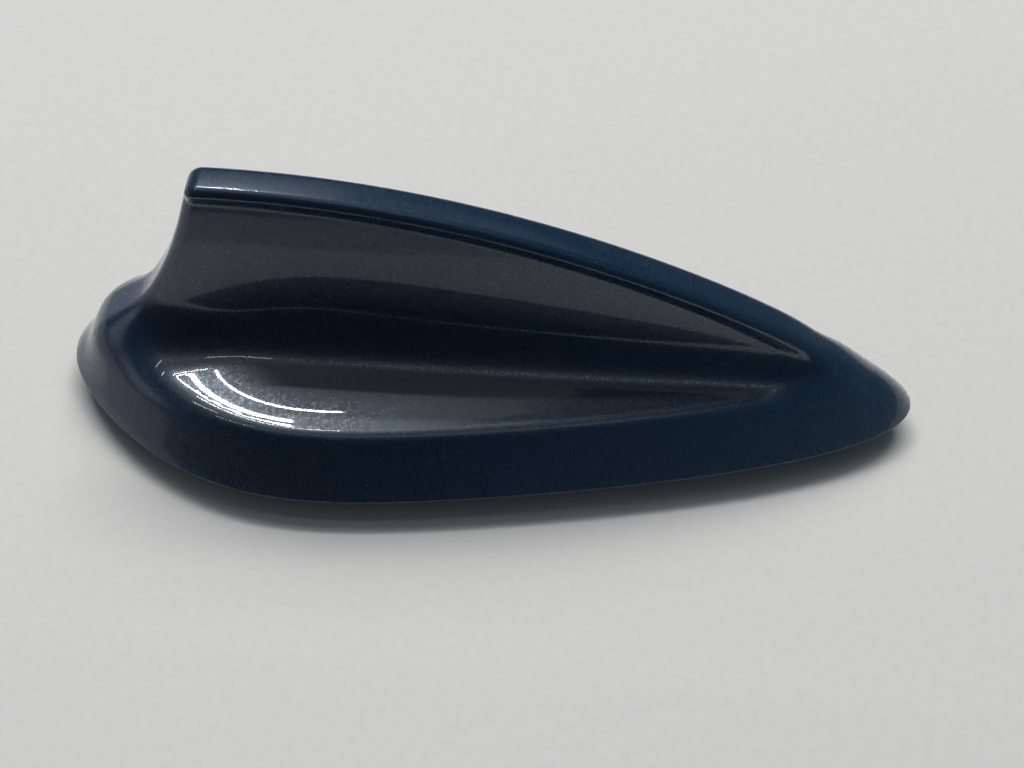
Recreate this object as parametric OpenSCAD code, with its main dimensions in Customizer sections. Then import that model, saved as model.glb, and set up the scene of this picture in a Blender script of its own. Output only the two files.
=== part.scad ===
// Car roof fin antenna: painted hood on a die-cast base that holds the
// satellite patch, the upright phone board, a front element and the sockets.
// Millimetres, +Z up, +X towards the pointed front end.

/* [Hood] */
// overall length
body_len = 166; // [163:1:172]
// half of the greatest width
half_w = 33.2; // [32.6:0.2:34]
// height of the painted edge above the table
stand = 5.5; // [4:0.1:8]
// slope of the skirt above the horizontal, degrees
skirt_deg = 57.5; // [55:0.5:70]
// height of the shoulder crease above the painted edge
crease_h = 11.5; // [10.5:0.1:14]
// rise of the shoulder towards the fin
rise = 8; // [4:0.5:12]
// wall of the moulding
wall = 2; // [1.6:0.1:2]

/* [Fin] */
// height of the crest line above the painted edge
crest_top = 51.2; // [50.6:0.2:55]
// half width of the crest bead
bead_half = 3.5; // [2.8:0.1:4]
// half width of the neck under the bead
neck_half = 2.6; // [2.6:0.1:3]
// draft of the fin walls, tangent
draft = 0.075; // [0.04:0.005:0.12]
// rounding of the top rear corner
corner_r = 2.2; // [1:0.1:5]

/* [Electronics] */
// side of the ceramic patch
patch_side = 20; // [16:1:22]
// thickness of the ceramic patch
patch_t = 4; // [3:0.5:4]
// thickness of the upright board
blade_t = 1; // [0.8:0.1:1]

/* [Mounting] */
// radius of the fixing thread
thread_r = 4; // [3:0.5:5]
// length of the boss that enters the roof
boss_len = 54; // [50:1:56]
// width of the boss that enters the roof
boss_w = 30; // [26:1:32]

/* [Hidden] */
// plan outline: widest place, how much the tail is narrower than an ellipse,
// and how soon the front starts to taper
wide_x = 52;
tail_k = 0.27;
side_c = 0.15;
// crest line: highest place, radius of the back, place and radius of the nose
crest_x = 37;
back_r = 180;
nose_x = 136;
nose_r = 130;
// trailing edge: place at its top, lean, length of its sweep, place of its foot
edge_x = 30.6;
edge_z = 50;
lean = 0.3;
sweep = 19;
foot_x = 9;
// fillet between fin and shoulder: along the side, added behind the fin
fillet_r = 6.5;
fillet_rear = 4;
// rounding of the shoulder's crease: along the side, added at the rear and the nose
crease_k = 1.6;
crease_rear = 3;
crease_nose = 1;
crown_r = 30;
bead_edge_r = 1.5;
bead_top = 1;
bead_end = 4.4;
plate_t = 2.5;
plate_z = -1.5;
board_z = 3;
board_t = 1.6;
deck = board_z + board_t;
boss_x = 71;
patch_x = 84;
post_pts = [[16.5, 0], [40, 20.2], [40, -20.2], [105, 13.9], [105, -13.9], [134, 0]];
board_pts = [[24, 6], [24, -6], [99.5, 7.5], [99.5, -7.5]];
e = 0.01;

// ---- curves -------------------------------------------------------------
function ease(t) = let(u = max(0, min(1, t))) u * u * (3 - 2 * u);
function hyp(a, b) = sqrt(a * a + b * b);
function smooth_max(a, b, k) = let(h = max(k - abs(a - b), 0) / k) max(a, b) + h * h * k / 4;
function round_join(a, b, r) = max(r, min(a, b)) - hyp(max(r - a, 0), max(r - b, 0));
// place along a hood of the usual length
function along(x) = x * 166 / body_len;
// square of the half width: an ellipse behind the widest place, a hyperbola before it
function half2(x) = let(
    v = along(x), t = max(wide_x - v, 0) / wide_x, u = max(v - wide_x, 0) / (166 - wide_x),
    back = (1 - t * t) * pow(1 - tail_k * t * t * t, 2),
    front = (hyp(u, side_c) - side_c) / (hyp(1, side_c) - side_c))
    half_w * half_w * (back - front);
// crest line and its slope
function crest(x) = let(v = along(x)) crest_top - pow(v - crest_x, 2) / (2 * back_r)
    - pow(max(v - nose_x, 0), 2) / (2 * nose_r);
function crest_slope(x) = let(v = along(x))
    -((v - crest_x) / back_r + max(v - nose_x, 0) / nose_r) * 166 / body_len;
// trailing edge of the fin
function edge(z) = let(h = edge_z - z)
    smooth_max(edge_x - lean * h - pow(h / sweep, 3), foot_x, 3);
function fillet(x) = fillet_r + fillet_rear * exp(-pow((along(x) - 20) / 10, 2));
function crease(x) = let(v = along(x)) crease_k + crease_rear * ease((50 - v) / 50)
    + crease_nose * ease((v - 122) / 36);
// distance inwards from the plan outline
function inward(x, y) = let(
    xc = max(-6, min(body_len + 6, x)),
    g = half2(xc) - y * y,
    wd = (half2(xc + 0.05) - half2(xc - 0.05)) / 0.1,
    q = 2 * sqrt(wd * wd / 4 + y * y) + 0.000001)
    2 * g / (q + sqrt(max(q * q + 4 * g, 0.000000001))) - abs(x - xc);

// ---- hood surface: negative inside, zero on the skin ---------------------
function wedge(x, y, z) = z * cos(skirt_deg) - inward(x, y) * sin(skirt_deg);
function lower(x, y, z) = let(
    f = max(inward(x, y) - 7, 0) / 26,
    top = -smooth_max(-crest(x), -(crease_h + rise * f * f), 6))
    smooth_max(wedge(x, y, z), z - top, crease(x));
function fin(x, y, z) = let(
    zr = max(-12, min(62, z)),
    s = crest_slope(x), q = (edge(zr + 0.1) - edge(zr - 0.1)) / 0.2,
    dc = (crest(x) - z) / sqrt(1 + s * s) - min(y * y, 16) / (2 * crown_r),
    dt = (x - edge(zr)) / sqrt(1 + q * q),
    d = min(-corner_r, max(-dc, -dt))
        + sqrt(pow(max(corner_r - dc, 0), 2) + pow(max(corner_r - dt, 0), 2)),
    m = max(0, min(1, (dc - bead_top) / (bead_end - bead_top))),
    t = m * m * (3 - 2 * m) * max(0, min(1, (155 - along(x)) / 30)),
    th = neck_half + draft * max(dc - 3, 0) + (bead_half - neck_half) * (1 - t),
    re = bead_edge_r + ease((along(x) - 125) / 30),
    r = re + (max(re, min(2.4, th - 0.2)) - re) * max(0, min(1, (dc - 1) / 3)),
    a = d + r, b = abs(y) - (th - r))
    min(max(a, b), 0) + sqrt(pow(max(a, 0), 2) + pow(max(b, 0), 2)) - r;
// towards the nose the fin and the shoulder turn into the plain wedge of the skirt
function skin(x, y, z) = let(w = ease((along(x) - 138) / 20))
    w * wedge(x, y, z) + (w < 1 ? (1 - w) * round_join(lower(x, y, z), fin(x, y, z), fillet(x)) : 0);

// halving searches: a is inside, b is outside
function find_x(a, b, k, lvl, n) = let(m = (a + b) / 2)
    n == 0 ? m : skin(m, 0, lvl_z(k, m)) + lvl < 0 ? find_x(m, b, k, lvl, n - 1)
    : find_x(a, m, k, lvl, n - 1);
function find_y(x, z, a, b, lvl, n) = let(m = (a + b) / 2)
    n == 0 ? m : skin(x, m, z) + lvl < 0 ? find_y(x, z, m, b, lvl, n - 1)
    : find_y(x, z, a, m, lvl, n - 1);
function find_z(x, a, b, lvl, n) = let(m = (a + b) / 2)
    n == 0 ? m : skin(x, 0, m) + lvl < 0 ? find_z(x, m, b, lvl, n - 1)
    : find_z(x, a, m, lvl, n - 1);

// level k: 0 to 1 climbs the skirt to the shoulder, 1 to 2 the hollow,
// 2 to 3 the fin wall, 3 to 4 the bead
function lvl_z(k, x) = let(
    c = max(crest(x), 1.2), sc = min(1, c / 20),
    top = c - 3.8 * sc, a = min(13.5, top * 0.66), b = min(26, a + (top - a) * 0.5))
    k <= 1 ? k * a : k <= 2 ? a + (k - 1) * (b - a)
    : k <= 3 ? b + (k - 2) * (top - b) : c - (4 - k) * 3.8 * sc;

// one closed ring: rear end, near side, front end, far side
function ring(k, lvl, n, xr, xf, in) = [for (i = [0 : 2 * n - 1]) let(
    j = i <= n ? i : 2 * n - i,
    x = xr + (xf - xr) * (1 - cos(180 * j / n)) / 2,
    z = lvl_z(k, x),
    y = (j == 0 || j == n) ? 0 : find_y(x, z, 0, 40, lvl + in, 15))
    [x, i < n ? -y : y, z]];
function full_ring(k, lvl, n, in = 0) = ring(k, lvl, n,
    find_x(45, -3, k, lvl + in, 17), find_x(45, body_len + 3, k, lvl + in, 17), in);
// closing line on the middle plane, at level k
function ridge(lvl, n, k, on_skin) = let(
    xr = find_x(45, 0, k, lvl, 17), xf = find_x(45, body_len + 3, k, lvl, 17))
    [for (j = [0 : n]) let(x = xr + (xf - xr) * (1 - cos(180 * j / n)) / 2)
        [x, 0, on_skin ? find_z(x, 0, 60, lvl, 16) : lvl_z(k, x)]];

// solid made of a stack of rings, closed by a ridge
module stack(rings, crest_line, n) {
    m = len(rings);
    base = m * 2 * n;
    function top_i(i) = base + (i % (2 * n) <= n ? i % (2 * n) : 2 * n - i % (2 * n));
    pts = concat([for (r = rings) each r], crest_line);
    sides = [for (a = [0 : m - 2]) for (i = [0 : 2 * n - 1]) let(
        p = a * 2 * n + i, q = a * 2 * n + (i + 1) % (2 * n))
        each [[p, p + 2 * n, q], [q, p + 2 * n, q + 2 * n]]];
    roof = [for (i = [0 : 2 * n - 1]) let(
        p = (m - 1) * 2 * n + i, q = (m - 1) * 2 * n + (i + 1) % (2 * n),
        a = top_i(i), b = top_i(i + 1))
        each [[p, a, q], [q, a, b]]];
    foot = [for (i = [1 : n - 1]) each (i == 1
        ? [[0, 1, 2 * n - 1]]
        : [[i - 1, i, 2 * n - i + 1], [i, 2 * n - i, 2 * n - i + 1]])];
    tail = [[n - 1, n, n + 1]];
    polyhedron(points = pts, faces = concat(sides, roof, foot, tail), convexity = 10);
}

outer_k = [0.04, 0.25, 0.48, 0.62, 0.72, 0.78, 0.82, 0.845, 0.86, 0.88, 0.93, 1, 1.12,
           1.26, 1.42, 1.6, 1.8, 2, 2.5, 3.01, 3.08, 3.2, 3.36, 3.52, 3.68, 3.82, 3.92, 3.98];
inner_k = [-0.06, 0.3, 0.5, 0.62, 0.74, 0.88, 1.05, 1.25, 1.5, 1.8, 2.2, 2.6, 3];

module outer_body() {
    n = 48;
    stack(concat([full_ring(0, 0, n, 0.5), full_ring(0.012, 0, n, 0.12)],
                 [for (k = outer_k) full_ring(k, 0, n)]), ridge(0, n, 3.995, true), n);
}
module inner_body() {
    n = 28;
    stack([for (k = inner_k) full_ring(k, wall, n)], ridge(wall, n, 3.25, false), n);
}
// middle of the outside length, skirt edge to nose (the nose is a little the longer)
mid_x = body_len / 2 + 0.1;
module place() { translate([-mid_x, 0, stand]) children(); }

// ---- plan outline moved inwards by d --------------------------------------
function in_x(a, b, d, n) = let(m = (a + b) / 2)
    n == 0 ? m : inward(m, 0) > d ? in_x(m, b, d, n - 1) : in_x(a, m, d, n - 1);
function in_y(x, a, b, d, n) = let(m = (a + b) / 2)
    n == 0 ? m : inward(x, m) > d ? in_y(x, m, b, d, n - 1) : in_y(x, a, m, d, n - 1);
module rim(d, n = 30) {
    xr = in_x(45, -2, d, 17);
    xf = in_x(45, body_len + 2, d, 17);
    polygon([for (i = [0 : 2 * n - 1]) let(
        j = i <= n ? i : 2 * n - i,
        x = xr + (xf - xr) * (1 - cos(180 * j / n)) / 2,
        y = (j == 0 || j == n) ? 0 : in_y(x, 0, 36, d, 15))
        [x, i < n ? -y : y]]);
}
module band(d0, d1, z0, z1) {
    translate([0, 0, z0]) linear_extrude(z1 - z0) difference() { rim(d0); rim(d1); }
}
module rect(lx, ly, r) {
    square([lx - 2 * r, ly], center = true);
    square([lx, ly - 2 * r], center = true);
    for (i = [-1, 1], j = [-1, 1]) translate([i * (lx / 2 - r), j * (ly / 2 - r)]) circle(r, $fn = 48);
}

// ---- hood --------------------------------------------------------------------
module cover() color([0.05, 0.1, 0.16]) place() difference() {
    outer_body();
    difference() {
        inner_body();
        for (p = post_pts) translate([p[0], p[1], 1]) cylinder(r = 2.8, h = 40, $fn = 48);
        band(4.9, 5.9, 2.4, 9);
    }
    for (p = post_pts) translate([p[0], p[1], -2]) cylinder(r = 1.3, h = 10.2, $fn = 32);
}

// ---- base and seals -----------------------------------------------------------
module base_plate() color([0.62, 0.63, 0.64]) place() difference() {
    union() {
        translate([0, 0, plate_z]) linear_extrude(plate_t) rim(4.2);
        band(7, 8.2, 1, 2.6);
        translate([boss_x, 0, -stand]) linear_extrude(stand + plate_z + e) rect(boss_len, boss_w, 6);
        translate([boss_x, 0, 1 - e]) cylinder(r = 9, h = 1.4 + e, $fn = 64);
        for (p = board_pts) translate([p[0], p[1], 1 - e]) cylinder(r = 2.4, h = board_z - 1 + e, $fn = 40);
        for (p = [[34, 10], [34, -10], [108, 9], [108, -9]]) translate([p[0], p[1], 1 - e])
            cylinder(r = 1.8, h = board_z - 1 + e, $fn = 32);
        for (y = [-14, 14]) translate([46, y - 0.8, 1 - e]) cube([52, 1.6, 1.2 + e]);
    }
    // fixing bush, sockets and breather
    translate([boss_x, 0, -stand - 1]) cylinder(r = 6.6, h = stand + 2.2, $fn = 64);
    for (s = socket_pts) translate([s[0], s[1], -stand - 1]) linear_extrude(12) rect(10, 10, 0.8);
    translate([118, 0, -3]) cylinder(r = 3.05, h = 6, $fn = 40);
    for (p = post_pts) translate([p[0], p[1], -3]) cylinder(r = 1.5, h = 6, $fn = 32);
    for (p = board_pts) translate([p[0], p[1], -0.6]) cylinder(r = 0.9, h = 6, $fn = 24);
    // pockets that lighten the boss, open downwards
    for (x = [64.6, 80], y = [-10.6, 10.6]) translate([x, y, -stand - 1]) linear_extrude(4) rect(9, 5, 1.5);
}
socket_pts = [[53, -7], [53, 7], [88, 0]];

module hood_seal() color([0.09, 0.09, 0.1]) place() band(4.4, 6.4, 1, 2.4);

module roof_seal() color([0.07, 0.07, 0.075]) place() {
    band(3.3, 8, -3, plate_z);
    band(3.3, 4.1, plate_z - e, -0.3);
    band(3.4, 4.3, -4.4, -3 + e);
    band(6.6, 7.4, -3.8, -3 + e);
}

module boss_gasket() color([0.13, 0.13, 0.14]) place()
    translate([boss_x, 0, -3.6]) linear_extrude(3.6 + plate_z) difference() {
        rect(58, 34.6, 8);
        rect(boss_len + 0.2, boss_w + 0.2, 6.1);
    }

module fixing_bush() color([0.72, 0.68, 0.5]) place() translate([boss_x, 0, 0]) difference() {
    union() {
        translate([0, 0, -5.3]) cylinder(r = 6.5, h = 5.3 + 1.1, $fn = 64);
    }
    translate([0, 0, -6]) cylinder(r = thread_r, h = 6.6, $fn = 64);
    translate([0, 0, -5.3 - e]) cylinder(r1 = thread_r + 0.6, r2 = thread_r, h = 0.6 + e, $fn = 64);
}

module vent_plug() color([0.85, 0.85, 0.83]) place() translate([118, 0, -1.7]) difference() {
    union() {
        cylinder(r = 3, h = 2.9, $fn = 40);
        translate([0, 0, 2.7]) cylinder(r = 3.8, h = 0.5, $fn = 40);
    }
    for (a = [0 : 60 : 300]) rotate(a) translate([1.6, 0, -1]) cylinder(r = 0.35, h = 6, $fn = 16);
}

module cover_screws() color([0.6, 0.61, 0.62]) place() for (p = post_pts) translate([p[0], p[1], 0])
    difference() {
        union() {
            translate([0, 0, plate_z - 1.5]) cylinder(r = 2.5, h = 1.5, $fn = 40);
            translate([0, 0, plate_z - e]) cylinder(r = 1.2, h = 8.7, $fn = 24);
        }
        translate([0, 0, plate_z - 1.5 - e]) cross_recess(1.3, 0.9);
    }
module cross_recess(r, d) {
    for (a = [0, 90]) rotate(a) translate([-r, -0.3, 0]) cube([2 * r, 0.6, d]);
}

// ---- main board ----------------------------------------------------------------
module main_board() color([0.06, 0.3, 0.16]) place() difference() {
    translate([0, 0, board_z]) linear_extrude(board_t) intersection() {
        rim(16);
        translate([21, -40]) square([107, 80]);
    }
    for (p = board_pts) translate([p[0], p[1], 0]) cylinder(r = 1.2, h = 8, $fn = 24);
    for (s = socket_pts) translate([s[0], s[1], 0]) cylinder(r = 0.6, h = 8, $fn = 20);
    translate([patch_x + 1.5, 1, 0]) cylinder(r = 0.7, h = 8, $fn = 20);
    for (x = [75, 93], y = [-12.4, 12.4]) translate([x, y, 0]) cylinder(r = 0.5, h = 8, $fn = 16);
}

module board_screws() color([0.75, 0.75, 0.74]) place() for (p = board_pts) translate([p[0], p[1], 0])
    difference() {
        union() {
            translate([0, 0, -0.4]) cylinder(r = 0.85, h = deck + 0.4 + e, $fn = 20);
            translate([0, 0, deck]) cylinder(r = 2, h = 1.1, $fn = 32);
        }
        translate([0, 0, deck + 0.4]) cross_recess(1, 1);
    }

module board_shield() color([0.78, 0.79, 0.8]) place() translate([52, 10.5, deck]) difference() {
    linear_extrude(2.6) rect(28, 8.4, 0.8);
    translate([0, 0, -e]) linear_extrude(2.4) rect(27.5, 7.9, 0.6);
    for (x = [-11 : 2.75 : 11], y = [-2, 0, 2]) translate([x, y, 1]) cylinder(r = 0.45, h = 3, $fn = 16);
}

// low-noise amplifiers, filters and a clock, on the free areas of the board
module board_chips() color([0.12, 0.12, 0.13]) place() {
    for (c = [[44, -10.5, 5, 5, 0.9], [54, -10, 4, 4, 0.8], [63, -11, 3.2, 2.6, 0.9],
              [46, 10.5, 4, 4, 0.8], [58, 10.5, 3, 3, 0.8], [29, 0, 3.6, 3.6, 0.9]])
        translate([c[0] - c[2] / 2, c[1] - c[3] / 2, deck]) cube([c[2], c[3], c[4]]);
    for (c = [[37.5, -10, 3.8, 3.8], [69.5, 10, 3, 3.8]])
        translate([c[0] - c[2] / 2, c[1] - c[3] / 2, deck]) cube([c[2], c[3], 1.2]);
}
module board_caps() color([0.62, 0.5, 0.36]) place() {
    for (x = [37, 41.6, 46.2, 56.4, 61, 65.6]) translate([x, -6.6, deck]) cube([1.6, 0.8, 0.8]);
    for (i = [0 : 4]) translate([40 + i * 5.2, -14.2, deck]) cube([1, 0.5, 0.5]);
    for (i = [0 : 3]) translate([42 + i * 5.4, 7.1, deck]) cube([1.6, 0.8, 0.8]);
    for (y = [-4.6, 3.8]) translate([32.2, y, deck]) cube([1.6, 0.8, 0.8]);
    for (i = [0 : 3]) translate([104 + i * 4.5, -6.6, deck]) cube([1, 0.5, 0.5]);
}

// ---- satellite patch -------------------------------------------------------------
module patch_pad() color([0.9, 0.89, 0.84]) place() translate([patch_x, 0, deck]) difference() {
    linear_extrude(0.5) square([patch_side - 1, patch_side - 1], center = true);
    translate([1.5, 1, -1]) cylinder(r = 1.2, h = 3, $fn = 24);
}
module gps_patch() color([0.82, 0.76, 0.62]) place() translate([patch_x, 0, deck + 0.5]) difference() {
    linear_extrude(patch_t) rect(patch_side, patch_side, 0.5);
    translate([1.5, 1, -1]) cylinder(r = 0.8, h = 8, $fn = 24);
}
module patch_electrode() color([0.86, 0.86, 0.85]) place()
    translate([patch_x, 0, deck + 0.5 + patch_t]) difference() {
        linear_extrude(0.1) polygon([[-7.8, -7.8], [5.8, -7.8], [7.8, -5.8], [7.8, 7.8], [-5.8, 7.8], [-7.8, 5.8]]);
        translate([1.5, 1, -1]) cylinder(r = 0.6, h = 3, $fn = 24);
    }
module patch_pin() color([0.8, 0.8, 0.78]) place() translate([patch_x + 1.5, 1, 0]) {
    translate([0, 0, board_z]) cylinder(r = 0.5, h = deck + 0.6 + patch_t - board_z + e, $fn = 20);
    translate([0, 0, deck + 0.6 + patch_t]) cylinder(r = 1.1, h = 0.35, $fn = 24);
}

// ---- upright phone board ------------------------------------------------------------
module phone_board() color([0.07, 0.26, 0.15]) place() difference() {
    translate([0, blade_t / 2, 0]) rotate([90, 0, 0]) linear_extrude(blade_t)
        polygon([[36, deck], [69, deck], [69, 38.5], [57, 43], [37, 43.5], [35, 41], [35, 7]]);
    for (x = [42, 62]) translate([x, -2, 14]) rotate([-90, 0, 0]) cylinder(r = 0.9, h = 4, $fn = 24);
}
// copper pattern on the left face: a broad flag with a folded tail
module phone_trace() color([0.8, 0.52, 0.3]) place() translate([0, blade_t / 2 + 0.1, 0]) rotate([90, 0, 0])
    linear_extrude(0.1) {
        polygon([[38, 24], [66, 24], [66, 37.4], [56.4, 41], [38, 41.6]]);
        for (i = [0 : 5]) translate([39 + i * 4.4, 16.5]) square([1.2, 7.5 + e]);
        for (i = [0 : 2]) translate([39 + i * 8.8, 15.4]) square([5.6, 1.2]);
        translate([64.5, 12.8]) square([1.5, 11.2 + e]);
    }
module phone_holder() color([0.15, 0.15, 0.16]) place() difference() {
    union() {
        translate([33.4, -3, deck]) cube([37, 6, 7.2]);
        for (x = [34, 66.6]) translate([x, -2.6, deck]) cube([3.2, 5.2, 11]);
    }
    translate([34.9, -0.55, deck - 1]) cube([34.2, 1.1, 20]);
    for (x = [41, 52, 63]) translate([x - 1.6, -2.4, deck - 1]) cube([3.2, 1.9, 5]);
}
module phone_contacts() color([0.83, 0.7, 0.36]) place() for (x = [41, 52, 63]) translate([x - 1, 0, deck]) {
    translate([0, -2.1, 0]) cube([2, 1.1, 0.25]);
    translate([0, -1.2, 0]) cube([2, 0.2, 2.9]);
    translate([0, -1.2, 2.7]) cube([2, 0.65, 0.25]);
}
module crush_foam() color([0.25, 0.25, 0.27]) place() translate([40, -0.65, 43.5]) cube([14, 1.3, 2.2]);

// ---- front element -----------------------------------------------------------------
module front_element() color([0.78, 0.72, 0.52]) place() difference() {
    union() {
        translate([0, 0.2, 0]) rotate([90, 0, 0]) linear_extrude(0.4)
            polygon([[104, deck], [107, deck], [107, 7], [126, 7], [126, 20], [104, 29]]);
        translate([104, -0.2, deck]) cube([3, 4.4, 0.4]);
    }
    for (i = [0 : 2]) translate([109.5 + i * 4.4, -2, i % 2 == 0 ? 10.5 : 12]) cube([1.1, 4, i % 2 == 0 ? 20 : 8.5]);
}
module front_carrier() color([0.16, 0.16, 0.17]) place() difference() {
    union() {
        translate([107.6, -3.2, deck]) cube([18, 6.4, 5]);
        translate([107.6, -1.2, deck]) cube([1.6, 2.4, 12]);
        translate([124, -1.2, deck]) cube([1.6, 2.4, 9]);
    }
    translate([106, -0.25, 7 - 0.05]) cube([22, 0.5, 30]);
}

// ---- sockets in the boss, open downwards ---------------------------------------------
module socket_body(side) difference() {
    translate([0, 0, -5]) linear_extrude(5 + board_z) rect(9.6, 9.6, 0.8);
    difference() {
        translate([0, 0, -5 - e]) linear_extrude(6 + e) rect(7.6, 7.6, 0.8);
        // keys inside the collar, placed differently on each socket
        for (a = side) rotate(a) translate([-0.6, 3.1, -4.4]) cube([1.2, 1, 6]);
    }
    translate([0, 0, -6]) cylinder(r = 0.55, h = 12, $fn = 20);
}
module gps_socket() color([0.1, 0.2, 0.5]) place() translate([88, 0, 0]) socket_body([0, 180]);
module phone_socket() color([0.45, 0.12, 0.3]) place() translate([53, -7, 0]) socket_body([0, 90]);
module data_socket() color([0.85, 0.82, 0.7]) place() translate([53, 7, 0]) socket_body([90, 270]);
module socket_shells() color([0.8, 0.72, 0.45]) place() for (s = socket_pts) translate([s[0], s[1], -4]) difference() {
    cylinder(r = 2.2, h = 5, $fn = 40);
    translate([0, 0, -1]) cylinder(r = 1.8, h = 8, $fn = 40);
}
module socket_cores() color([0.93, 0.93, 0.9]) place() for (s = socket_pts) translate([s[0], s[1], -1]) difference() {
    cylinder(r = 1.75, h = 2, $fn = 32);
    translate([0, 0, -1]) cylinder(r = 0.55, h = 4, $fn = 20);
}
module socket_pins() color([0.85, 0.72, 0.4]) place() for (s = socket_pts) translate([s[0], s[1], -3.6]) {
    cylinder(r = 0.45, h = 3.6 + deck - 0.2, $fn = 20);
}

cover();
base_plate();
hood_seal();
roof_seal();
boss_gasket();
fixing_bush();
vent_plug();
cover_screws();
main_board();
board_screws();
board_shield();
board_chips();
board_caps();
patch_pad();
gps_patch();
patch_electrode();
patch_pin();
phone_board();
phone_trace();
phone_holder();
phone_contacts();
crush_foam();
front_element();
front_carrier();
gps_socket();
phone_socket();
data_socket();
socket_shells();
socket_cores();
socket_pins();
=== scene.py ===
import math
import bpy
import numpy as np
from mathutils import Matrix, Vector


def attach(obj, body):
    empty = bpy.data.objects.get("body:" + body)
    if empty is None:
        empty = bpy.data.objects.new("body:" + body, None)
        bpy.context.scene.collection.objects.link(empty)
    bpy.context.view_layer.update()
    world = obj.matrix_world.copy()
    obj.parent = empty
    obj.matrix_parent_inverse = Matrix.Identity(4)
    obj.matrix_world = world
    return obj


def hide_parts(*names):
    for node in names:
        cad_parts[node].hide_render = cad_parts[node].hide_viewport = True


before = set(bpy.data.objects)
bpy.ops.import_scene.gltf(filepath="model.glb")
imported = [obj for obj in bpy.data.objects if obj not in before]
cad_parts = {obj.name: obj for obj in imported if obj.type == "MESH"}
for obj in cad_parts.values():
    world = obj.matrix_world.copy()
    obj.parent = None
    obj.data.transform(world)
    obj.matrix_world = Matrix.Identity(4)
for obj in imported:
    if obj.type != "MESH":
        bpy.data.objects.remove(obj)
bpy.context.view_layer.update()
scene = bpy.context.scene
scene.view_settings.view_transform = "Standard"

# ---------------------------------------------------------------- camera ----
cam_data = bpy.data.cameras.new("camera")
cam_data.sensor_width = 36.0
cam_data.lens = 56.25
cam_data.clip_start = 0.005
cam = bpy.data.objects.new("camera", cam_data)
scene.collection.objects.link(cam)
right = Vector((0.9959, 0.0905, 0.0)).normalized()
forward = Vector((-0.0532, 0.5854, -0.8090)).normalized()
up = right.cross(forward).normalized()
right = forward.cross(up).normalized()
m = Matrix((right, up, -forward)).transposed().to_4x4()
m.translation = Vector((0.02153, -0.18683, 0.26052))
cam.matrix_world = m
scene.camera = cam

# ------------------------------------------------- hood surface, in mm ------
LEN = 166.0
MID = 83.1
STAND = 5.5
SK = math.radians(57.5)
WALL = 2.0


def ease(t):
    t = np.clip(t, 0, 1)
    return t * t * (3 - 2 * t)


def smax(a, b, k):
    h = np.maximum(k - np.abs(a - b), 0) / k
    return np.maximum(a, b) + h * h * k / 4


def half2(x):
    """Square of the half width: an ellipse behind the widest place, a hyperbola before it."""
    t = np.maximum(52.0 - x, 0) / 52.0
    u = np.maximum(x - 52.0, 0) / (LEN - 52.0)
    back = (1 - t * t) * (1 - 0.27 * t ** 3) ** 2
    front = (np.hypot(u, 0.15) - 0.15) / (math.hypot(1, 0.15) - 0.15)
    return 33.2 ** 2 * (back - front)


def crest(x):
    return 51.2 - (x - 37.0) ** 2 / 360.0 - np.maximum(x - 136.0, 0) ** 2 / 260.0


def crest_slope(x):
    return -(x - 37.0) / 180.0 - np.maximum(x - 136.0, 0) / 130.0


def edge(z):
    """Trailing edge of the fin."""
    h = 50.0 - z
    return smax(30.6 - 0.3 * h - (h / 19.0) ** 3, 9.0, 3.0)


def fillet(x):
    return 6.5 + 4.0 * np.exp(-((x - 20.0) / 10.0) ** 2)


def crease(x):
    return 1.6 + 3.0 * ease((50.0 - x) / 50.0) + 1.0 * ease((x - 122.0) / 36.0)


def inward(x, y):
    xc = np.clip(x, -6, LEN + 6)
    g = half2(xc) - y * y
    wd = (half2(xc + 0.05) - half2(xc - 0.05)) / 0.1
    q = 2 * np.sqrt((wd / 2) ** 2 + y * y) + 1e-6
    return 2 * g / (q + np.sqrt(np.maximum(q * q + 4 * g, 1e-9))) - np.abs(x - xc)


def wedge(x, y, z):
    return z * math.cos(SK) - inward(x, y) * math.sin(SK)


def lower(x, y, z):
    e = np.maximum(inward(x, y) - 7.0, 0) / 26.0
    top = -smax(-crest(x), -(11.5 + 8.0 * e * e), 6.0)
    return smax(wedge(x, y, z), z - top, crease(x))


def fin(x, y, z):
    zc = np.clip(z, -12, 62)
    s = crest_slope(x)
    q = (edge(zc + 0.1) - edge(zc - 0.1)) / 0.2
    dc = (crest(x) - z) / np.sqrt(1 + s * s) - np.minimum(y * y, 16) / 60.0
    dt = (x - edge(zc)) / np.sqrt(1 + q * q)
    r = 2.2
    d = np.minimum(-r, np.maximum(-dc, -dt)) + np.sqrt(
        np.maximum(r - dc, 0) ** 2 + np.maximum(r - dt, 0) ** 2)
    t = np.clip((dc - 1.0) / 3.4, 0, 1)
    t = t * t * (3 - 2 * t) * np.clip((155 - x) / 30, 0, 1)
    th = 2.6 + 0.075 * np.maximum(dc - 3, 0) + 0.9 * (1 - t)
    re = 1.5 + ease((x - 125.0) / 30.0)
    r2 = re + (np.maximum(re, np.minimum(2.4, th - 0.2)) - re) * np.clip((dc - 1.0) / 3.0, 0, 1)
    a = d + r2
    b = np.abs(y) - (th - r2)
    return np.minimum(np.maximum(a, b), 0) + np.sqrt(
        np.maximum(a, 0) ** 2 + np.maximum(b, 0) ** 2) - r2


def skin(x, y, z):
    a = lower(x, y, z)
    b = fin(x, y, z)
    r = fillet(x)
    body = np.maximum(r, np.minimum(a, b)) - np.sqrt(
        np.maximum(r - a, 0) ** 2 + np.maximum(r - b, 0) ** 2)
    w = ease((x - 138.0) / 20.0)
    return w * wedge(x, y, z) + (1 - w) * body


EDGE_R = 0.5


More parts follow.
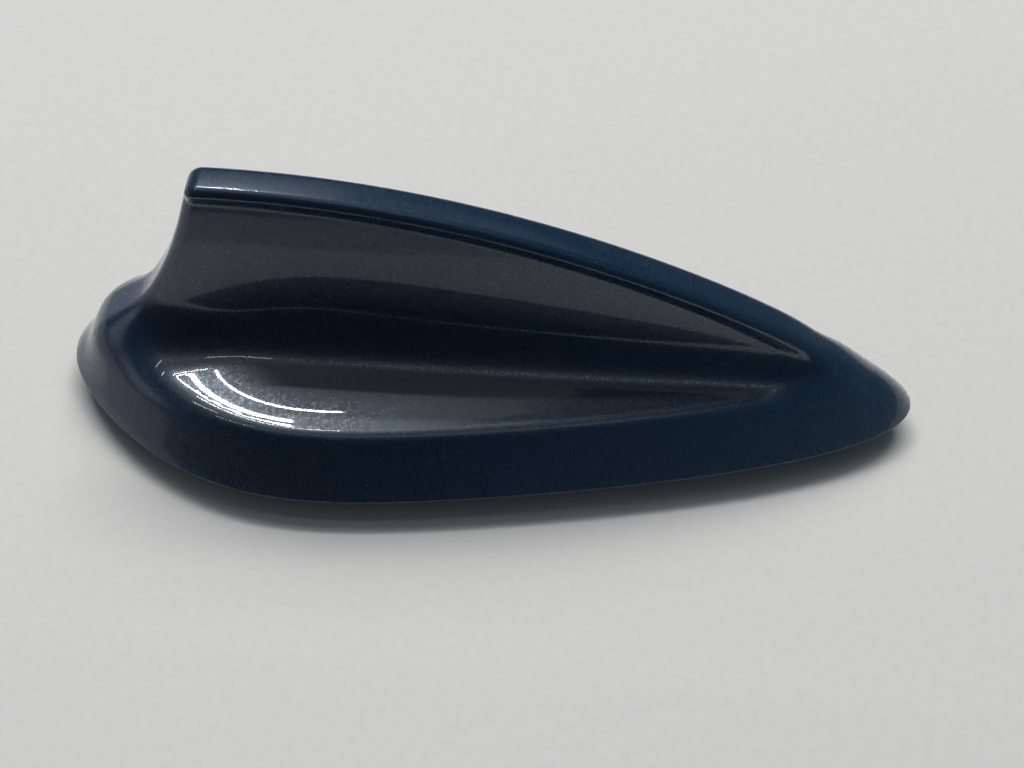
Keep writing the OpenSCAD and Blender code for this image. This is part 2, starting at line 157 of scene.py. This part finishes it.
def hood(x, y, z):
    """The skin with its rounded lower edge."""
    t = np.clip((z - 0.3) / 1.7, 0, 1)
    a = skin(x, y, z) + 0.02 * (1 - t * t * (3 - 2 * t))
    b = -z
    r = EDGE_R
    return np.minimum(np.maximum(a, b), -r) + np.sqrt(
        np.maximum(a + r, 0) ** 2 + np.maximum(b + r, 0) ** 2)


def inner(x, y, z):
    return skin(x, y, z) + WALL


def grad(f, x, y, z, h=2e-4):
    return ((f(x + h, y, z) - f(x - h, y, z)) / (2 * h),
            (f(x, y + h, z) - f(x, y - h, z)) / (2 * h),
            (f(x, y, z + h) - f(x, y, z - h)) / (2 * h))


def halve(fun, a, b, n=40):
    """fun is negative at a and positive at b."""
    a = np.array(a, float)
    b = np.array(b, float)
    for _ in range(n):
        mid = (a + b) / 2
        v = fun(mid) < 0
        a = np.where(v, mid, a)
        b = np.where(v, b, mid)
    return (a + b) / 2


def section_grid(f, z_lo, stations, count, step):
    """Traces each cross section from the lower edge over the side to the middle plane."""
    zz = np.linspace(z_lo, z_lo + 6, 240)

    def least(xv):
        return np.min(f(np.full_like(zz, xv), np.zeros_like(zz), zz))

    def end(inside, outside):
        a, b = inside, outside
        for _ in range(44):
            mid = (a + b) / 2
            if least(mid) < 0:
                a = mid
            else:
                b = mid
        return a

    x0 = end(40.0, -4.0) + 1e-4
    x1 = end(130.0, LEN + 4.0) - 1e-4
    xs = np.linspace(x0, x1, 6001)
    w = 1.3 + 1.2 / np.sqrt(xs - x0 + 0.01) + 1.2 / np.sqrt(x1 - xs + 0.01)
    w = w + 3.0 * np.clip((xs - 6) / 3, 0, 1) * np.clip((36 - xs) / 3, 0, 1)
    cum = np.concatenate([[0], np.cumsum((w[1:] + w[:-1]) / 2 * np.diff(xs))])
    X = np.interp(np.linspace(0, cum[-1], stations), cum, xs)
    # lowest point of each section
    g = f(X[:, None] + 0 * zz[None, :], np.zeros((len(X), len(zz))), X[:, None] * 0 + zz[None, :])
    zin = zz[np.argmin(g, 1)]
    lo_ok = f(X, np.zeros_like(X), np.full_like(X, z_lo + 1e-5)) < 0
    ys = halve(lambda v: f(X, v, np.full_like(X, z_lo + 1e-5)), np.zeros_like(X), np.full_like(X, 45.0))
    zs = halve(lambda v: f(X, np.zeros_like(X), v), zin, np.full_like(X, z_lo - 1.0))
    y = np.where(lo_ok, ys, 0.0)
    z = np.where(lo_ok, z_lo, zs)
    Y = [y.copy()]
    Z = [z.copy()]
    live = np.ones(len(X), bool)

    def tangent(y, z):
        gy = (f(X, y + 1e-4, z) - f(X, y - 1e-4, z)) / 2e-4
        gz = (f(X, y, z + 1e-4) - f(X, y, z - 1e-4)) / 2e-4
        q = np.sqrt(gy * gy + gz * gz) + 1e-12
        return -gz / q, gy / q, gy, gz, q

    for k in range(int(150 / step)):
        ty, tz, _, _, _ = tangent(y, z)
        if k == 0:
            ty, tz = np.ones_like(y), np.zeros_like(z)
        hs = np.minimum(step, 0.004 + 0.25 * np.abs(y) + 0.02 * k * step) if k < 60 else step
        ym, zm = y + ty * hs / 2, z + tz * hs / 2
        ty2, tz2, _, _, _ = tangent(ym, zm)
        if k == 0:
            ty2, tz2 = ty, tz
        yn, zn = y + ty2 * hs, z + tz2 * hs
        for _ in range(3):
            _, _, gy, gz, q = tangent(yn, zn)
            c = np.clip(f(X, yn, zn) / (q * q), -0.3, 0.3)
            yn, zn = yn - c * gy, zn - c * gz
        zn = np.maximum(zn, z_lo)
        done = live & (yn <= 0) & (k > 1)
        u = np.where(done, y / np.maximum(y - yn, 1e-9), 1.0)
        y = np.where(live, np.where(done, 0.0, yn), y)
        z = np.where(live, z + (zn - z) * u, z)
        Y.append(y.copy())
        Z.append(z.copy())
        live = live & ~done
        if not live.any():
            break
    Y = np.array(Y).T
    Z = np.array(Z).T
    out_y = np.zeros((len(X), count))
    out_z = np.zeros((len(X), count))
    for i in range(len(X)):
        d = np.hypot(np.diff(Y[i]), np.diff(Z[i]))
        keep = np.concatenate([[True], d > 1e-9])
        py, pz = Y[i][keep], Z[i][keep]
        d = np.hypot(np.diff(py), np.diff(pz))
        if len(d) < 3:
            out_y[i] = np.interp(np.linspace(0, 1, count), np.linspace(0, 1, len(py)), py)
            out_z[i] = np.interp(np.linspace(0, 1, count), np.linspace(0, 1, len(pz)), pz)
            continue
        ang = np.unwrap(np.arctan2(np.diff(pz), np.diff(py)))
        bend = np.abs(np.diff(ang)) / np.maximum((d[1:] + d[:-1]) / 2, 1e-6)
        bend = np.concatenate([[bend[0]], bend, [bend[-1]]])
        kern = np.ones(9) / 9
        bend = np.convolve(np.pad(np.minimum(bend, 2.5), 4, mode="edge"), kern, "valid")
        wt = 1 + 2.6 * (bend[1:] + bend[:-1]) / 2
        s = np.concatenate([[0], np.cumsum(wt * d)])
        t = np.linspace(0, s[-1], count)
        out_y[i] = np.interp(t, s, py)
        out_z[i] = np.interp(t, s, pz)
    return X, out_y, out_z, int(live.sum())


def polish(f, x, y, z, fixed):
    for _ in range(3):
        gx, gy, gz = grad(f, x, y, z)
        q = gy * gy + gz * gz
        c = np.where(fixed | (q < 0.02), 0.0, np.clip(f(x, y, z) / np.maximum(q, 1e-6), -0.05, 0.05))
        y, z = y - c * gy, z - c * gz
    return y, z


def to_row(x, y, z):
    return np.stack([(x - MID) / 1000, y / 1000, (z + STAND) / 1000], -1)


def build_hood():
    n = 132
    X, Y, Z, bad = section_grid(hood, 0.0, 356, n, 0.12)
    ni = 56
    XI, YI, ZI, bad_i = section_grid(inner, 0.0, 120, ni, 0.25)
    print("hood sections", len(X), "left open", bad, "inside", len(XI), bad_i)
    xx = np.repeat(X[:, None], n, 1)
    fixed = np.zeros_like(Y, bool)
    fixed[:, 0] = fixed[:, -1] = True
    Y, Z = polish(hood, xx, Y, Z, fixed)
    verts, normals, faces, smooth = [], [], [], []

    def add(co, nor):
        start = len(verts)
        verts.extend(map(tuple, co))
        normals.extend(map(tuple, nor))
        return start

    def unit(v):
        return v / np.maximum(np.linalg.norm(v, axis=-1, keepdims=True), 1e-12)

    lows = {}
    for name, f, xs, ys, zs, flip, cnt in (("out", hood, xx, Y, Z, False, n),
                                          ("in", inner, np.repeat(XI[:, None], ni, 1), YI, ZI, True, ni)):
        for side in (-1, 1):
            px, py, pz = xs.ravel(), (ys * side).ravel(), zs.ravel()
            gx, gy, gz = grad(f, px, py, pz)
            nor = unit(np.stack([gx, gy, gz], -1))
            mid = np.abs(py) < 1e-9
            nor[mid, 1] = 0
            nor = unit(nor)
            if flip:
                nor = -nor
            s = add(to_row(px, py, pz), nor)
            rows = xs.shape[0]
            for i in range(rows - 1):
                for j in range(cnt - 1):
                    a, b = s + i * cnt + j, s + i * cnt + j + 1
                    c, d = s + (i + 1) * cnt + j + 1, s + (i + 1) * cnt + j
                    q = (a, d, c, b) if (side < 0) != flip else (a, b, c, d)
                    faces.append(q)
            lows[(name, side)] = [(s + i * cnt, xs[i, 0], ys[i, 0]) for i in range(rows)]
    # flat underside of the wall, between the rounded edge and the inside
    down = (0.0, 0.0, -1.0)
    for side in (-1, 1):
        o = [(x, y) for _, x, y in lows[("out", side)] if y > 1e-6]
        q = [(x, y) for _, x, y in lows[("in", side)]]
        q[0] = (q[0][0], 0.0)
        q[-1] = (q[-1][0], 0.0)
        o = [(o[0][0], 0.0)] + o + [(o[-1][0], 0.0)]
        so = add([to_row(x, y * side, 0.0) for x, y in o], [down] * len(o))
        si = add([to_row(x, y * side, 0.0) for x, y in q], [down] * len(q))

        def turn(p, last, first):
            return (p - first) / (last - first)

        i = j = 0
        while i < len(o) - 1 or j < len(q) - 1:
            to = turn(o[i + 1][0], o[-1][0], o[0][0]) if i < len(o) - 1 else 9
            tq = turn(q[j + 1][0], q[-1][0], q[0][0]) if j < len(q) - 1 else 9
            if to <= tq:
                f3 = (so + i, so + i + 1, si + j)
                i += 1
            else:
                f3 = (so + i, si + j + 1, si + j)
                j += 1
            faces.append(f3 if side > 0 else f3[::-1])
    # screw posts inside, each a closed tube that runs into the wall
    for cx, cy in ((16.5, 0), (40, 20.2), (40, -20.2), (105, 13.9), (105, -13.9), (134, 0)):
        a = np.linspace(0, 2 * np.pi, 40, endpoint=False)
        c, s_ = np.cos(a), np.sin(a)
        roof = halve(lambda v: skin(cx + 2.8 * c, cy + 2.8 * s_, v), np.ones(40), np.full(40, 60.0))
        zt = float(roof.min()) - 0.8
        loops = []
        for r, z, nn in ((2.8, 1.0, (1, 0)), (2.8, zt, (1, 0)), (1.3, min(8.2, zt - 0.5), (-1, 0)), (1.3, 1.0, (-1, 0))):
            loops.append(add(to_row(cx + r * c, cy + r * s_, np.full_like(c, z)),
                             np.stack([nn[0] * c, nn[0] * s_, 0 * c], -1)))
        for k in range(40):
            k2 = (k + 1) % 40
            faces.append((loops[0] + k, loops[0] + k2, loops[1] + k2, loops[1] + k))
            faces.append((loops[2] + k, loops[2] + k2, loops[3] + k2, loops[3] + k))
        ring = add(to_row(np.r_[cx + 2.8 * c, cx + 1.3 * c], np.r_[cy + 2.8 * s_, cy + 1.3 * s_],
                          np.full(80, 1.0)), [down] * 80)
        for k in range(40):
            k2 = (k + 1) % 40
            faces.append((ring + k2, ring + k, ring + 40 + k, ring + 40 + k2))
        capt = add(to_row(cx + 2.8 * c, cy + 2.8 * s_, np.full(40, zt)), [(0, 0, 1.0)] * 40)
        faces.append(tuple(capt + k for k in range(40)))
        capb = add(to_row(cx + 1.3 * c, cy + 1.3 * s_, np.full(40, min(8.2, zt - 0.5))), [down] * 40)
        faces.append(tuple(capb + 39 - k for k in range(40)))
    me = bpy.data.meshes.new("painted_hood")
    me.from_pydata(verts, [], faces)
    me.polygons.foreach_set("use_smooth", [True] * len(me.polygons))
    me.update()
    me.normals_split_custom_set_from_vertices([tuple(v) for v in normals])
    ob = bpy.data.objects.new("painted_hood", me)
    scene.collection.objects.link(ob)
    tris = sum(len(p.vertices) - 2 for p in me.polygons)
    print("painted_hood triangles", tris)
    return ob


# ------------------------------------------------------------- materials ----
def new_mat(name):
    mt = bpy.data.materials.new(name)
    mt.use_nodes = True
    nt = mt.node_tree
    return mt, nt, nt.nodes["Principled BSDF"]


def node(nt, kind, **kw):
    nd = nt.nodes.new(kind)
    for k, v in kw.items():
        if k in nd.inputs:
            nd.inputs[k].default_value = v
        else:
            setattr(nd, k, v)
    return nd


def ramp(nt, src, stops):
    r = nt.nodes.new("ShaderNodeValToRGB")
    el = r.color_ramp.elements
    while len(el) < len(stops):
        el.new(0.5)
    for e, (p, c) in zip(el, stops):
        e.position = p
        e.color = (*c, 1.0) if len(c) == 3 else c
    nt.links.new(src, r.inputs["Fac"])
    return r.outputs["Color"]


def coords(nt):
    return nt.nodes.new("ShaderNodeTexCoord").outputs["Object"]


def noise(nt, vec, scale, detail=3.0, rough=0.5):
    nd = nt.nodes.new("ShaderNodeTexNoise")
    nd.inputs["Scale"].default_value = scale
    nd.inputs["Detail"].default_value = detail
    nd.inputs["Roughness"].default_value = rough
    nt.links.new(vec, nd.inputs["Vector"])
    return nd.outputs["Fac"]


def bump(nt, height, strength, dist, normal=None):
    b = nt.nodes.new("ShaderNodeBump")
    b.inputs["Strength"].default_value = strength
    b.inputs["Distance"].default_value = dist
    nt.links.new(height, b.inputs["Height"])
    if normal is not None:
        nt.links.new(normal, b.inputs["Normal"])
    return b.outputs["Normal"]


def paint():
    mt, nt, p = new_mat("blue_metallic_paint")
    vec = coords(nt)
    tone = noise(nt, vec, 35.0, 4.0, 0.55)
    col = ramp(nt, tone, [(0.3, (0.0036, 0.0190, 0.0470)), (0.7, (0.0044, 0.0225, 0.0550))])
    nt.links.new(col, p.inputs["Base Color"])
    p.inputs["Metallic"].default_value = 0.0
    p.inputs["IOR"].default_value = 1.75
    p.inputs["Specular Tint"].default_value = (0.52, 0.62, 0.72, 1.0)
    p.inputs["Coat Weight"].default_value = 1.0
    p.inputs["Coat IOR"].default_value = 1.36
    p.inputs["Coat Roughness"].default_value = 0.03
    # metal flakes under the clear coat: each cell leans and scatters its own way
    vor = nt.nodes.new("ShaderNodeTexVoronoi")
    vor.inputs["Scale"].default_value = 2600.0
    nt.links.new(vec, vor.inputs["Vector"])
    nt.links.new(ramp(nt, vor.outputs["Color"], [(0.2, (0.27,) * 3), (0.8, (0.42,) * 3)]), p.inputs["Roughness"])
    flake = bump(nt, vor.outputs["Color"], 0.5, 0.00010)
    nt.links.new(flake, p.inputs["Normal"])
    # faint orange peel of the clear coat
    peel = bump(nt, noise(nt, vec, 420.0, 2.0, 0.4), 0.06, 0.00003)
    nt.links.new(peel, p.inputs["Coat Normal"])
    return mt


def plain(name, lo, hi, rough=(0.4, 0.55), metal=0.0, scale=300.0, bmp=0.15, dist=0.00004,
          bscale=None, stretch=None):
    mt, nt, p = new_mat(name)
    vec = coords(nt)
    if stretch:
        mp = nt.nodes.new("ShaderNodeMapping")
        mp.inputs["Scale"].default_value = stretch
        nt.links.new(vec, mp.inputs["Vector"])
        vec = mp.outputs["Vector"]
    nt.links.new(ramp(nt, noise(nt, vec, scale, 4.0), [(0.3, lo), (0.7, hi)]), p.inputs["Base Color"])
    nt.links.new(ramp(nt, noise(nt, vec, scale * 1.7, 3.0), [(0.3, (rough[0],) * 3), (0.7, (rough[1],) * 3)]),
                 p.inputs["Roughness"])
    p.inputs["Metallic"].default_value = metal
    nt.links.new(bump(nt, noise(nt, vec, bscale or scale * 4, 3.0), bmp, dist), p.inputs["Normal"])
    return mt


MATS = {
    "base_plate": plain("cast_metal", (0.42, 0.43, 0.44), (0.55, 0.56, 0.57), (0.42, 0.6), 1.0, 250, 0.35, 0.00008, 1400),
    "hood_seal": plain("seal_rubber_a", (0.014, 0.014, 0.015), (0.024, 0.024, 0.025), (0.55, 0.75), 0, 400),
    "roof_seal": plain("seal_rubber_b", (0.016, 0.016, 0.017), (0.028, 0.028, 0.029), (0.5, 0.7), 0, 500, 0.2),
    "boss_gasket": plain("cell_foam", (0.03, 0.03, 0.033), (0.06, 0.06, 0.063), (0.8, 0.95), 0, 1500, 0.8, 0.0002, 2600),
    "fixing_bush": plain("passivated_steel", (0.46, 0.40, 0.22), (0.62, 0.56, 0.34), (0.28, 0.42), 1.0, 180),
    "vent_plug": plain("vent_plastic", (0.62, 0.62, 0.60), (0.72, 0.72, 0.70), (0.45, 0.6), 0, 600),
    "cover_screws": plain("zinc_screws", (0.48, 0.49, 0.51), (0.62, 0.63, 0.65), (0.25, 0.4), 1.0, 500),
    "main_board": plain("board_mask_a", (0.008, 0.07, 0.028), (0.014, 0.105, 0.045), (0.25, 0.4), 0, 260, 0.2),
    "board_screws": plain("nickel_screws", (0.6, 0.6, 0.58), (0.7, 0.7, 0.68), (0.22, 0.35), 1.0, 500),
    "board_shield": plain("tinned_can", (0.62, 0.63, 0.64), (0.75, 0.76, 0.77), (0.3, 0.42), 1.0, 90, 0.1, 0.00003, 300, (1, 12, 1)),
    "board_chips": plain("chip_resin", (0.012, 0.012, 0.013), (0.022, 0.022, 0.023), (0.5, 0.65), 0, 1500, 0.4),
    "board_caps": plain("chip_ceramic", (0.28, 0.18, 0.10), (0.40, 0.28, 0.17), (0.4, 0.55), 0, 900),
    "patch_pad": plain("pad_tape", (0.62, 0.60, 0.52), (0.72, 0.70, 0.62), (0.7, 0.85), 0, 900, 0.4),
    "gps_patch": plain("patch_ceramic", (0.46, 0.38, 0.25), (0.56, 0.48, 0.34), (0.55, 0.7), 0, 700, 0.4),
    "patch_electrode": plain("fired_silver", (0.68, 0.68, 0.65), (0.80, 0.80, 0.77), (0.35, 0.5), 1.0, 700, 0.4),
    "patch_pin": plain("tinned_pin", (0.6, 0.59, 0.55), (0.7, 0.69, 0.65), (0.3, 0.4), 1.0, 900),
    "phone_board": plain("board_mask_b", (0.008, 0.06, 0.026), (0.014, 0.09, 0.04), (0.25, 0.4), 0, 260, 0.2),
    "phone_trace": plain("copper_pattern", (0.55, 0.27, 0.12), (0.68, 0.36, 0.18), (0.3, 0.45), 1.0, 400),
    "phone_holder": plain("holder_plastic", (0.018, 0.018, 0.019), (0.03, 0.03, 0.031), (0.4, 0.55), 0, 700, 0.3),
    "phone_contacts": plain("gold_contacts", (0.66, 0.48, 0.17), (0.78, 0.60, 0.25), (0.22, 0.35), 1.0, 700),
    "crush_foam": plain("open_foam", (0.04, 0.04, 0.045), (0.09, 0.09, 0.10), (0.85, 1.0), 0, 1800, 1.0, 0.0003, 2400),
    "front_element": plain("tinned_sheet", (0.52, 0.46, 0.28), (0.66, 0.60, 0.40), (0.3, 0.42), 1.0, 120, 0.1, 0.00003, 400, (1, 1, 12)),
    "front_carrier": plain("carrier_plastic", (0.018, 0.018, 0.02), (0.03, 0.03, 0.032), (0.4, 0.55), 0, 700, 0.3),
    "gps_socket": plain("socket_blue", (0.01, 0.035, 0.16), (0.016, 0.05, 0.22), (0.35, 0.5), 0, 600, 0.2),
    "phone_socket": plain("socket_purple", (0.12, 0.012, 0.055), (0.17, 0.02, 0.08), (0.35, 0.5), 0, 600, 0.2),
    "data_socket": plain("socket_ivory", (0.60, 0.54, 0.38), (0.70, 0.64, 0.47), (0.35, 0.5), 0, 600, 0.2),
    "socket_shells": plain("plated_shells", (0.58, 0.50, 0.28), (0.70, 0.62, 0.38), (0.22, 0.35), 1.0, 600),
    "socket_cores": plain("white_insulator", (0.74, 0.74, 0.70), (0.82, 0.82, 0.78), (0.35, 0.5), 0, 700),
    "socket_pins": plain("gold_pins", (0.68, 0.49, 0.18), (0.80, 0.61, 0.27), (0.2, 0.3), 1.0, 800),
}
for nm, mt in MATS.items():
    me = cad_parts[nm].data
    me.materials.clear()
    me.materials.append(mt)

hood_ob = build_hood()
paint_mat = paint()
hood_ob.data.materials.append(paint_mat)
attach(hood_ob, "root")
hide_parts("cover")
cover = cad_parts["cover"].data
cover.materials.clear()
cover.materials.append(paint_mat)

# ----------------------------------------------------------- floor, light ----
bpy.ops.mesh.primitive_plane_add(size=6.0, location=(0, 0, 0))
floor = bpy.context.object
floor.name = "floor"
fm, nt, p = new_mat("pale_floor")
vec = coords(nt)
nt.links.new(ramp(nt, noise(nt, vec, 500.0, 5.0, 0.6), [(0.3, (0.665, 0.66, 0.655)), (0.7, (0.70, 0.697, 0.692))]),
             p.inputs["Base Color"])
p.inputs["Roughness"].default_value = 0.6
floor.data.materials.append(fm)

def card(name, loc, rot, size, stops, glow=None):
    """Plain card outside the view, seen only in the gloss of the paint, where it is a painted reflection: the dark and
    grey cards paint shade into the reflected surroundings, the glowing ones paint bright patches. Its tone runs along
    X, or with glow its light fades from the middle to the edge."""
    bpy.ops.mesh.primitive_plane_add(size=1.0, location=loc, rotation=rot)
    ob = bpy.context.object
    ob.name = name
    ob.scale = (size[0], size[1], 1.0)
    cm, nt, p = new_mat(name)
    tc = nt.nodes.new("ShaderNodeTexCoord")
    if glow:
        mp = nt.nodes.new("ShaderNodeMapping")
        mp.inputs["Scale"].default_value = (2.0, 2.0, 2.0)
        nt.links.new(tc.outputs["Object"], mp.inputs["Vector"])
        gr = nt.nodes.new("ShaderNodeTexGradient")
        gr.gradient_type = "QUADRATIC_SPHERE"
        nt.links.new(mp.outputs["Vector"], gr.inputs["Vector"])
        col = ramp(nt, gr.outputs["Fac"], stops)
        nt.links.new(col, p.inputs["Emission Color"])
        p.inputs["Emission Strength"].default_value = glow
        p.inputs["Base Color"].default_value = (0.0, 0.0, 0.0, 1.0)
    else:
        sx = nt.nodes.new("ShaderNodeSeparateXYZ")
        nt.links.new(tc.outputs["Generated"], sx.inputs[0])
        nt.links.new(ramp(nt, sx.outputs["X"], stops), p.inputs["Base Color"])
    p.inputs["Specular IOR Level"].default_value = 0.0
    p.inputs["Roughness"].default_value = 0.9
    ob.data.materials.append(cm)
    ob.visible_camera = False
    ob.visible_diffuse = False
    ob.visible_shadow = False


# DARK: tone of the cards that paint shade into the paint's reflections
DARK = (0.014, 0.015, 0.018)
# painted reflection: a dark sheet in front of the object, seen only in the gloss, darkens the reflection there; its
# bluish end towards +X lifts the reflection on the nose
card("dark_front", (0.64, -0.125, 0.35), (math.pi / 2, 0, 0), (1.72, 0.7),
     [(0.0, DARK), (0.12, DARK), (0.24, (0.07, 0.145, 0.24)), (1.0, (0.10, 0.20, 0.33))])
# painted shade in the reflection: a dark sheet on the floor in front, seen only in the gloss, darkens the reflected
# floor
card("shade_sheet_front", (0, -0.362, 0.0008), (0, 0, 0), (3.0, 0.6), [(0.0, DARK), (1.0, DARK)])
# painted half shade in the reflection: a grey strip on the floor just in front of the near edge, seen only in the
# gloss, dims the reflected floor
card("half_shade_sheet_front", (0, -0.057, 0.0008), (0, 0, 0), (3.0, 0.01), [(0.0, (0.40, 0.40, 0.41)), (1.0, (0.40, 0.40, 0.41))])
# painted reflection: a grey sheet on the floor left of the rear end, seen only in the gloss, makes the reflected floor
# darker there
card("dim_floor_sheet_left", (-0.417, 0.0, 0.0009), (0, 0, 0), (0.6, 1.2), [(0.0, (0.30, 0.34, 0.40)), (1.0, (0.38, 0.42, 0.48))])
# glowing cards, seen only in the gloss: painted reflections of a lit wall on the left and of the ceiling
card("panel_left", (-1.5, -0.30, 0.40), (0, math.pi / 2, 0), (1.0, 1.6),
     [(0.0, (0.0, 0.0, 0.0)), (0.5, (0.9, 0.95, 1.0))], 0.7)
card("panel_top", (-0.45, 1.05, 1.75), (0, 0, 0), (3.8, 3.4),
     [(0.0, (0.0, 0.0, 0.0)), (1.0, (1.0, 0.98, 0.96))], 0.95)
card("panel_right", (0.90, 1.30, 1.75), (0, 0, 0), (1.8, 1.4),
     [(0.0, (0.0, 0.0, 0.0)), (0.5, (1.0, 0.98, 0.96))], 0.35)


def lamp(name, x0, x1, y, z, wide, watts, gloss):
    """Straight light along X, from x0 to x1, that faces the object: in its gloss, or on it and the floor."""
    li = bpy.data.lights.new(name, "AREA")
    li.shape = "RECTANGLE"
    li.size = x1 - x0
    li.size_y = wide
    li.energy = watts
    li.color = (1.0, 0.99, 0.97)
    ob = bpy.data.objects.new(name, li)
    ob.location = ((x0 + x1) / 2, y, z)
    ob.rotation_euler = (-math.atan2(y, z), 0, 0)
    ob.visible_glossy = gloss
    ob.visible_diffuse = not gloss
    scene.collection.objects.link(ob)
    return ob


lamp("tube_a", -0.80, -0.28, 0.55, 1.70, 0.022, 5, True)
lamp("tube_b", -0.82, -0.40, 0.77, 1.70, 0.045, 8, True)
lamp("tube_c", -1.15, -0.88, 0.02, 1.70, 0.03, 1.0, True)
lamp("tube_d", -1.10, -0.22, -0.40, 1.70, 0.02, 1.5, True)
lamp("tube_e", -0.22, 0.50, -0.45, 1.70, 0.012, 1.3, True)
lamp("soft_top", -0.9, 0.9, 0.10, 1.75, 0.15, 1.1, False)
lamp("soft_mid", -0.9, 0.9, 0.62, 1.70, 0.15, 2.4, False)
lamp("soft_rear", -0.9, 0.9, 0.90, 1.70, 0.15, 13.5, False)
lamp("soft_back", -0.9, 0.9, 1.14, 1.72, 0.20, 20.0, False)
lamp("soft_low", -1.0, 1.0, 1.45, 1.70, 0.25, 6.5, False)

world = bpy.data.worlds.new("room")
scene.world = world
world.use_nodes = True
bg = world.node_tree.nodes["Background"]
bg.inputs["Color"].default_value = (0.72, 0.88, 1.0, 1.0)
bg.inputs["Strength"].default_value = 0.11
